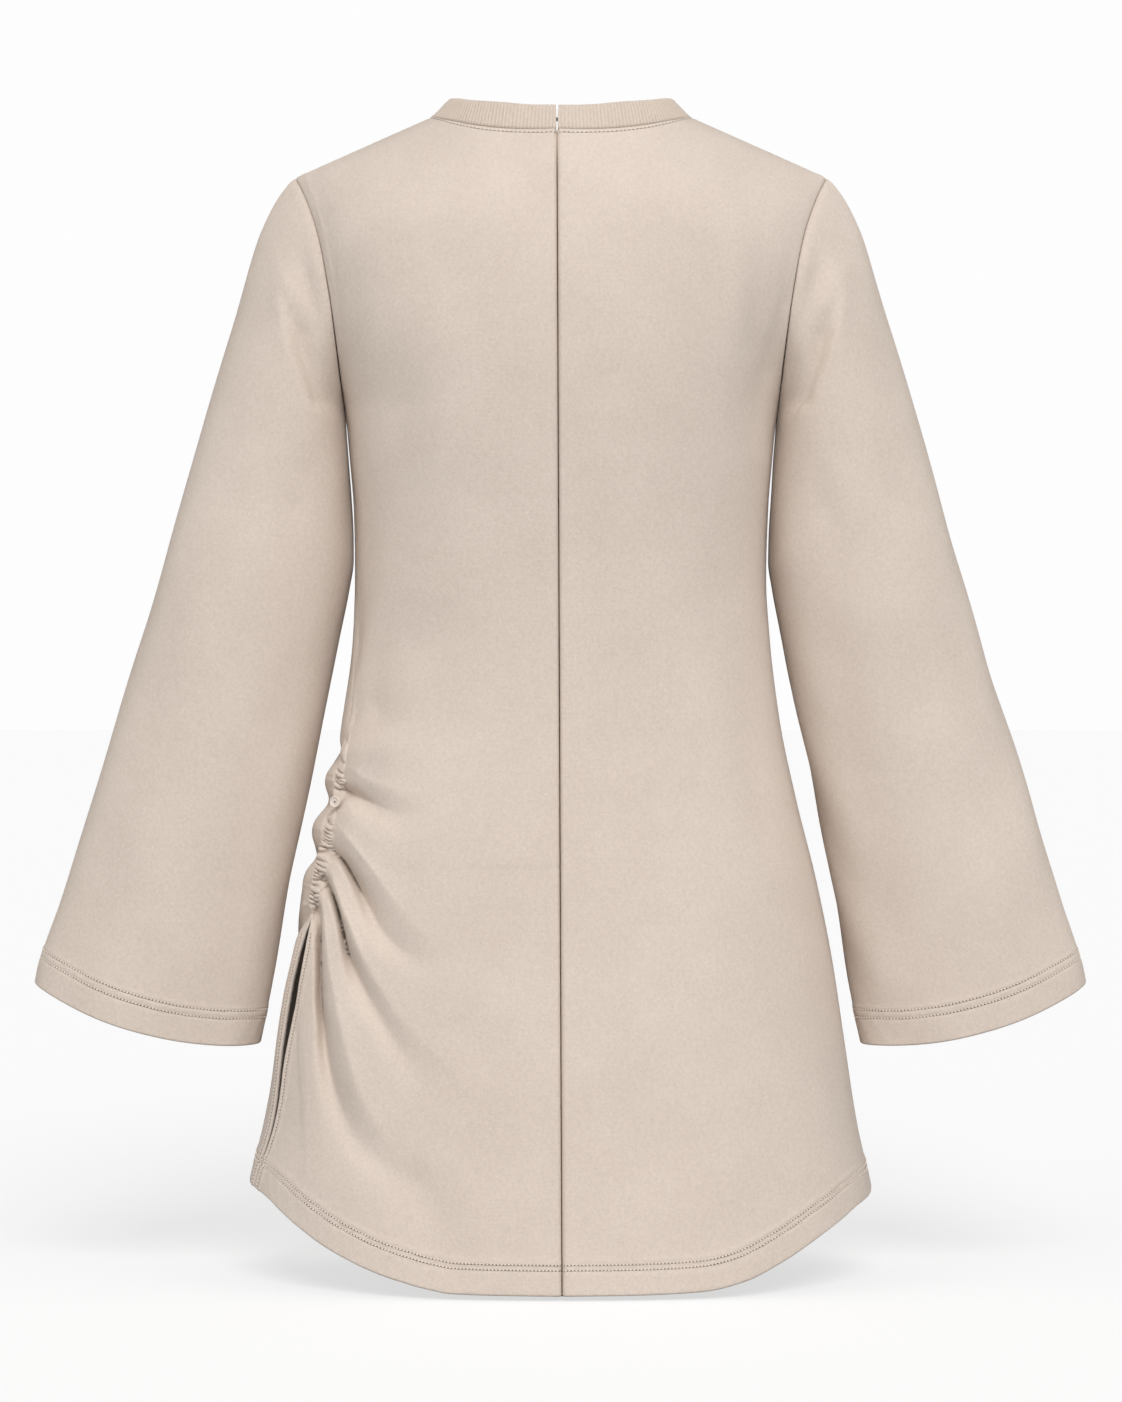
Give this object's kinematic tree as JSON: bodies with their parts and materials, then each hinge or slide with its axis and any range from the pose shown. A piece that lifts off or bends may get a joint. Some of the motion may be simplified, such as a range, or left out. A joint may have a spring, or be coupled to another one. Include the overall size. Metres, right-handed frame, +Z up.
{
  "type": "sweatshirt",
  "caption": "Long sweatshirt with bell sleeves, a ribbed crew collar, a centre back seam and one gathered side seam above a slit, filled out as worn.",
  "frame": {"origin": "midway between the two shoulder points, in the plane of the shoulder seams", "axes": "+Z up, +X towards the wearer's right, +Y out of the front; the back faces -Y"},
  "size_m": [0.788, 0.2762, 0.8799],
  "materials": {
    "jersey": "soft brushed jersey, pale pinkish beige",
    "rib_knit": "fine vertical rib knit, pale pinkish beige",
    "button": "small dished button in the cloth's colour",
    "catch": "dark enamelled hook and eye"
  },
  "bodies": {
    "root": {"back_left": "jersey", "back_right": "jersey", "front": "jersey", "sleeve_left": "jersey", "sleeve_right": "jersey", "neck_rib": "rib_knit", "side_gathers": "jersey", "side_button": "button", "neck_catch": "catch"}
  },
  "joints": []
}
